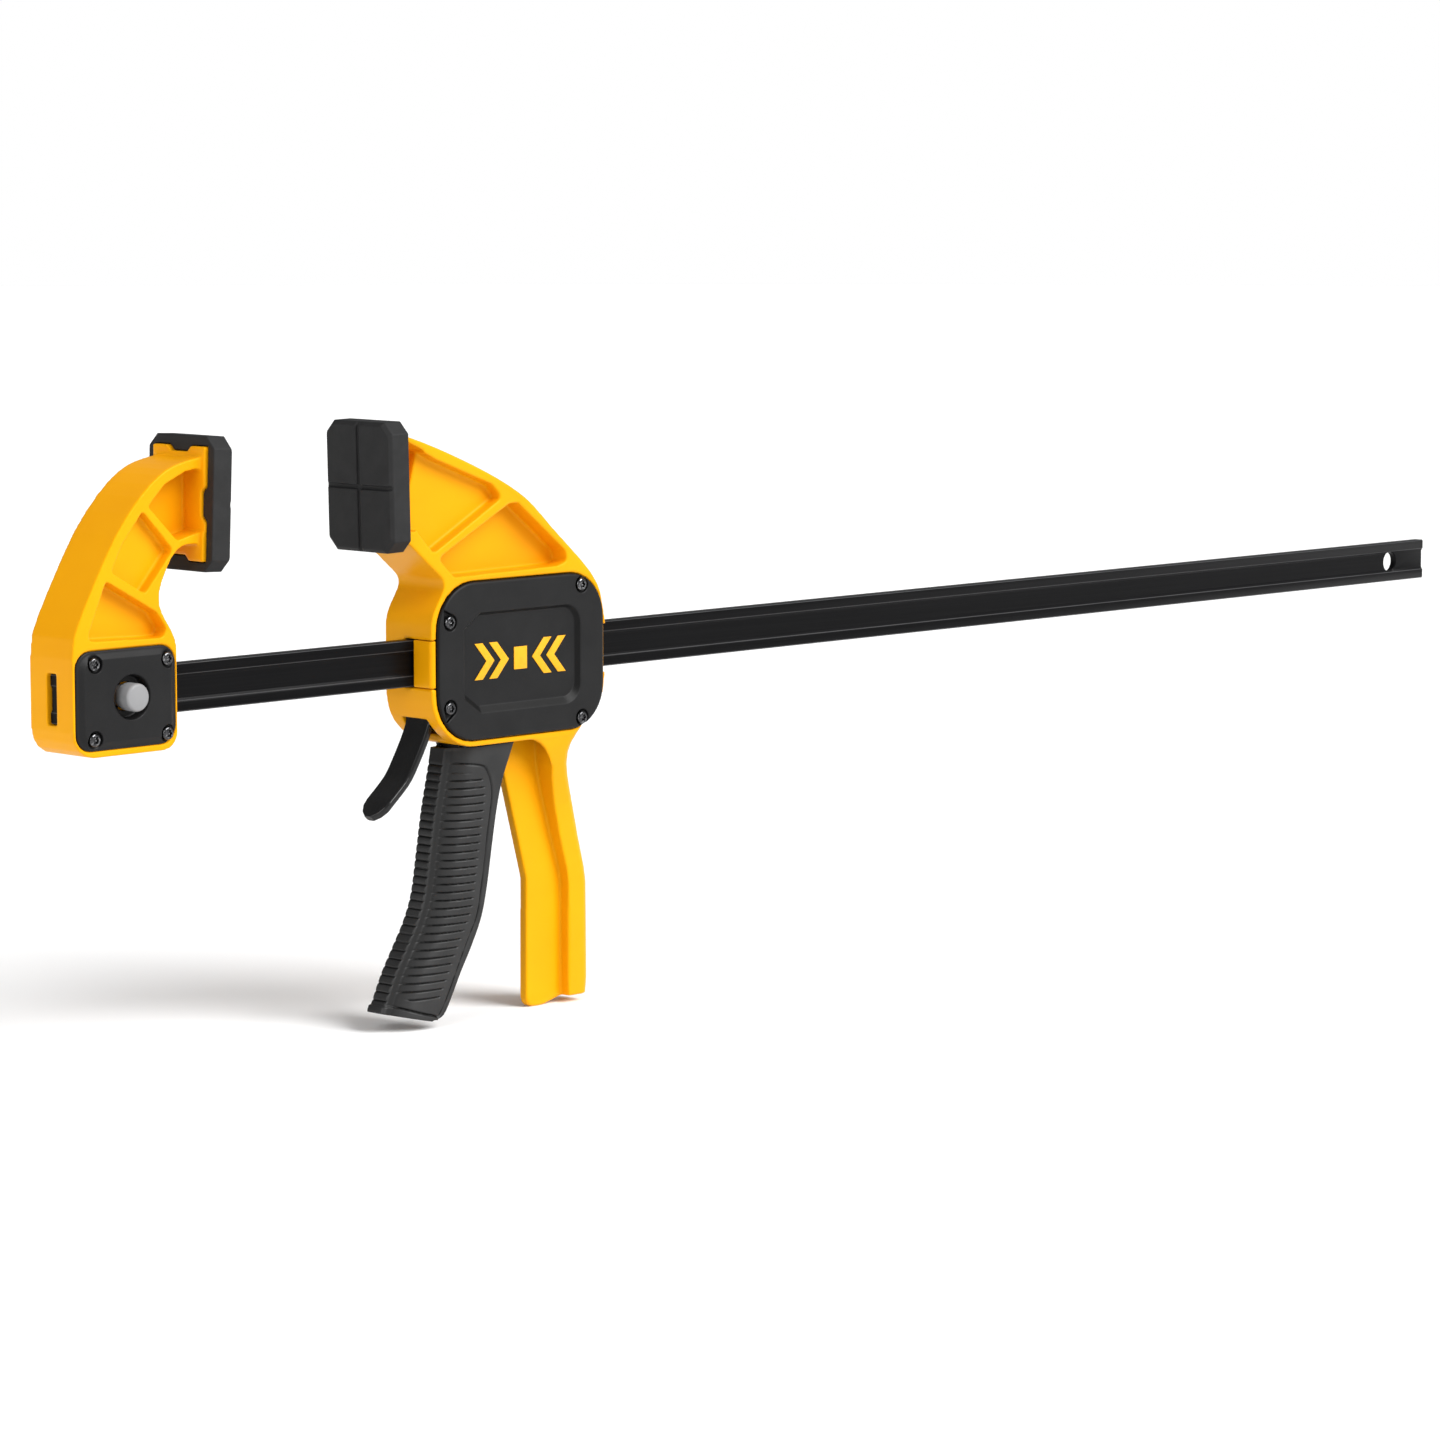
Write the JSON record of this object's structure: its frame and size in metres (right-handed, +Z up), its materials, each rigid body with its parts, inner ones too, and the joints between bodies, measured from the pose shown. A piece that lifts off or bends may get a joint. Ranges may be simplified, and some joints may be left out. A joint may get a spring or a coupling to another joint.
{
  "type": "trigger bar clamp",
  "caption": "One-handed bar clamp: fixed jaw on an I-section bar, sliding head with moving jaw, squeeze trigger, rear handle and brake release lever.",
  "frame": {"origin": "under the middle of the clamp, at the height of the handle's lower end, with the pads upward", "axes": "+X along the bar from the fixed jaw to the free end, +Y away from the cover side, +Z up"},
  "size_m": [0.856, 0.0392, 0.2468],
  "materials": {
    "yellow_plastic": "satin moulded glass-filled nylon, yellow",
    "cover_plastic": "fine-textured black nylon cover",
    "grip_plastic": "ribbed black moulding",
    "pad_rubber": "matt black elastomer pad",
    "bar_steel": "black oxide rolled steel",
    "button_plastic": "mid-grey satin plastic",
    "badge_plastic": "yellow inlay with a plain arrow device",
    "screw_steel": "black oxide steel",
    "plate_steel": "hardened plate steel",
    "spring_steel": "spring wire"
  },
  "bodies": {
    "bar": {"bar": "bar_steel", "fixed_jaw": "yellow_plastic", "fixed_jaw_cover": "cover_plastic", "fixed_jaw_pad": "pad_rubber", "button_spring": "spring_steel", "fixed_cover_screw_1": "screw_steel", "fixed_cover_screw_2": "screw_steel", "fixed_cover_screw_3": "screw_steel", "fixed_cover_screw_4": "screw_steel"},
    "button": {"release_button": "button_plastic"},
    "head": {"head_body": "yellow_plastic", "head_cover": "cover_plastic", "badge": "badge_plastic", "front_bar_keeper": "yellow_plastic", "rear_bar_keeper": "yellow_plastic", "moving_jaw_pad": "pad_rubber", "trigger_pin": "plate_steel", "drive_spring": "spring_steel", "brake_spring": "spring_steel", "head_cover_screw_1": "screw_steel", "head_cover_screw_2": "screw_steel", "head_cover_screw_3": "screw_steel", "head_cover_screw_4": "screw_steel"},
    "trigger": {"trigger_grip": "grip_plastic"},
    "drive": {"drive_plate_1": "plate_steel", "drive_plate_2": "plate_steel", "drive_plate_3": "plate_steel"},
    "brake": {"brake_plate": "plate_steel", "release_lever": "grip_plastic"}
  },
  "joints": [
    {"name": "head_slide", "type": "slide", "parent": "bar", "child": "head", "axis": [1, 0, 0], "range_m": [-0.0785, 0.54]},
    {"name": "trigger_squeeze", "type": "hinge", "parent": "head", "child": "trigger", "pos_m": [-0.214, 0, 0.1638], "axis": [0, -1, 0], "range_deg": [0, 23.5], "stiffness_Nm_per_rad": 1.6, "springref_deg": -20.05},
    {"name": "drive_advance", "type": "slide", "parent": "head", "child": "drive", "axis": [1, 0, 0], "range_m": [0, 0.0108], "deforming": ["drive_spring"]},
    {"name": "brake_release", "type": "hinge", "parent": "head", "child": "brake", "pos_m": [-0.235, 0, 0.1663], "axis": [0, -1, 0], "range_deg": [0, 5], "stiffness_Nm_per_rad": 1.5, "springref_deg": -11.46, "deforming": ["brake_spring"]},
    {"name": "button_press", "type": "slide", "parent": "bar", "child": "button", "axis": [0, 1, 0], "range_m": [0, 0.0035], "stiffness_N_per_m": 900, "springref_m": -0.003, "deforming": ["button_spring"]}
  ],
  "couplings": [
    {"joint": "drive_advance", "follows": "trigger_squeeze", "m_per_rad": 0.02572}
  ]
}
